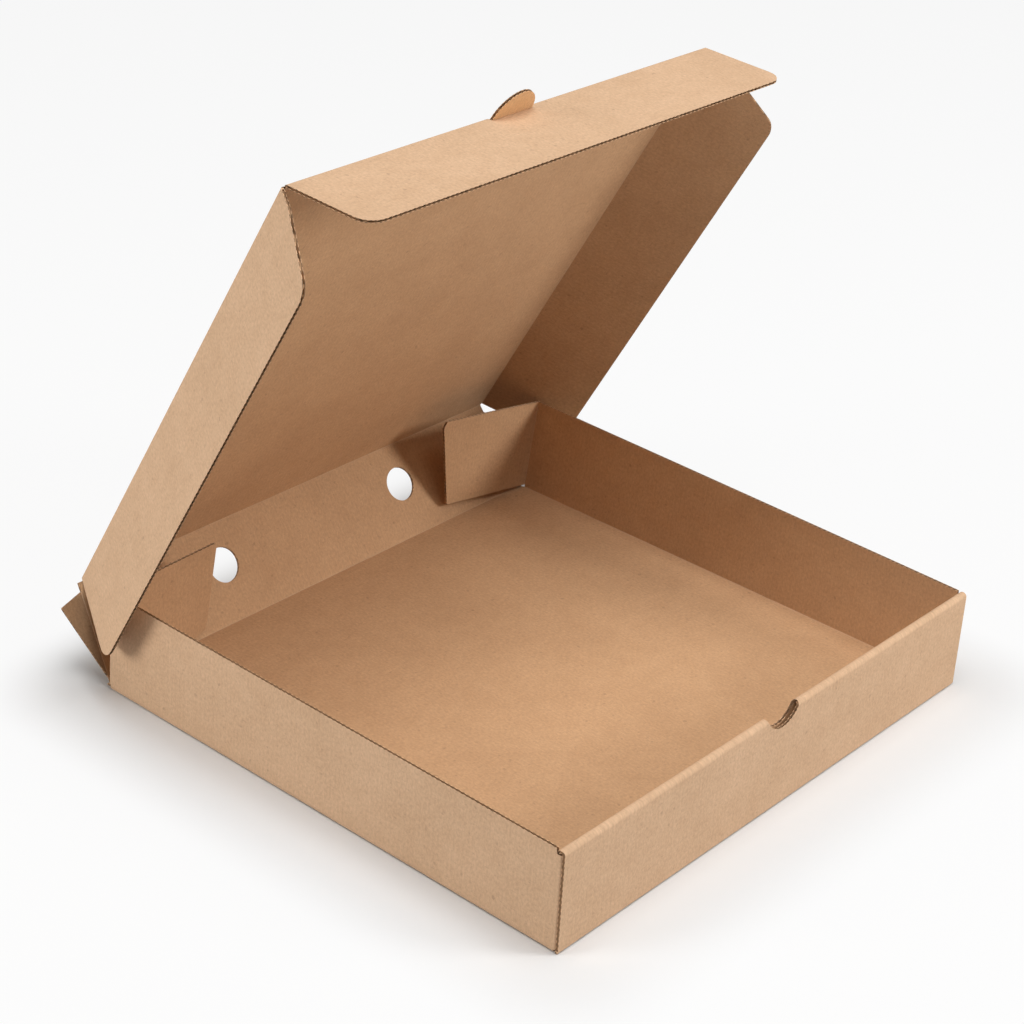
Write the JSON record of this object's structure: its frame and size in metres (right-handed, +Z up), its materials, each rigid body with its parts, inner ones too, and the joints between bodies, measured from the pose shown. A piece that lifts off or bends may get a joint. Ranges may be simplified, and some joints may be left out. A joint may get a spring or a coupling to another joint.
{
  "type": "corrugated pizza box",
  "caption": "Plain kraft corrugated pizza box with a hinged lid, tuck flaps, rolled front wall with a finger notch, and round vents in the back wall; stands open.",
  "frame": {"origin": "centre of the tray floor's underside", "axes": "X along the front wall to the box's right, Y from the front wall to the back wall, Z up"},
  "size_m": [0.3748, 0.3484, 0.3191],
  "materials": {
    "kraft_board": "matte"
  },
  "bodies": {
    "tray": {"tray": "kraft_board"},
    "back_wall": {"back_wall": "kraft_board"},
    "lid": {"lid_panel": "kraft_board"},
    "lid_left_flap": {"lid_left_flap": "kraft_board"},
    "lid_right_flap": {"lid_right_flap": "kraft_board"},
    "lid_front_flap": {"lid_front_flap": "kraft_board"},
    "rear_left_flap": {"rear_left_flap": "kraft_board"},
    "rear_right_flap": {"rear_right_flap": "kraft_board"},
    "ear_left": {"ear_left": "kraft_board"},
    "ear_right": {"ear_right": "kraft_board"}
  },
  "joints": [
    {"name": "back_wall_fold", "type": "hinge", "parent": "tray", "child": "back_wall", "pos_m": [0, 0.156, 0.0015], "axis": [1, 0, 0], "range_deg": [-36, 0]},
    {"name": "lid_hinge", "type": "hinge", "parent": "back_wall", "child": "lid", "pos_m": [0, 0.1862, 0.04747], "axis": [1, 0, 0], "range_deg": [-58, 0]},
    {"name": "lid_left_flap_fold", "type": "hinge", "parent": "lid", "child": "lid_left_flap", "pos_m": [-0.1533, 0.1862, 0.04747], "axis": [0.0343, -0.4723, 0.8808], "range_deg": [-64, 0]},
    {"name": "lid_right_flap_fold", "type": "hinge", "parent": "lid", "child": "lid_right_flap", "pos_m": [0.1577, 0.1862, 0.04747], "axis": [0.0343, -0.4723, 0.8808], "range_deg": [0, 54]},
    {"name": "lid_front_flap_fold", "type": "hinge", "parent": "lid", "child": "lid_front_flap", "pos_m": [0, 0.04868, 0.30393], "axis": [1, 0, 0], "range_deg": [-63, 30]},
    {"name": "rear_left_flap_fold", "type": "hinge", "parent": "tray", "child": "rear_left_flap", "pos_m": [-0.1635, 0.153, 0], "axis": [0.0436, 0, 0.999], "range_deg": [-78, 0]},
    {"name": "rear_right_flap_fold", "type": "hinge", "parent": "tray", "child": "rear_right_flap", "pos_m": [0.1635, 0.153, 0], "axis": [0.1564, 0, 0.9877], "range_deg": [0, 78]},
    {"name": "ear_left_fold", "type": "hinge", "parent": "back_wall", "child": "ear_left", "pos_m": [-0.162, 0.15725, 0.00068], "axis": [0.0905, 0.5468, 0.8324], "range_deg": [-68, 12]},
    {"name": "ear_right_fold", "type": "hinge", "parent": "back_wall", "child": "ear_right", "pos_m": [0.162, 0.15725, 0.00068], "axis": [-0.0905, 0.5468, 0.8324], "range_deg": [-72, 8]}
  ]
}
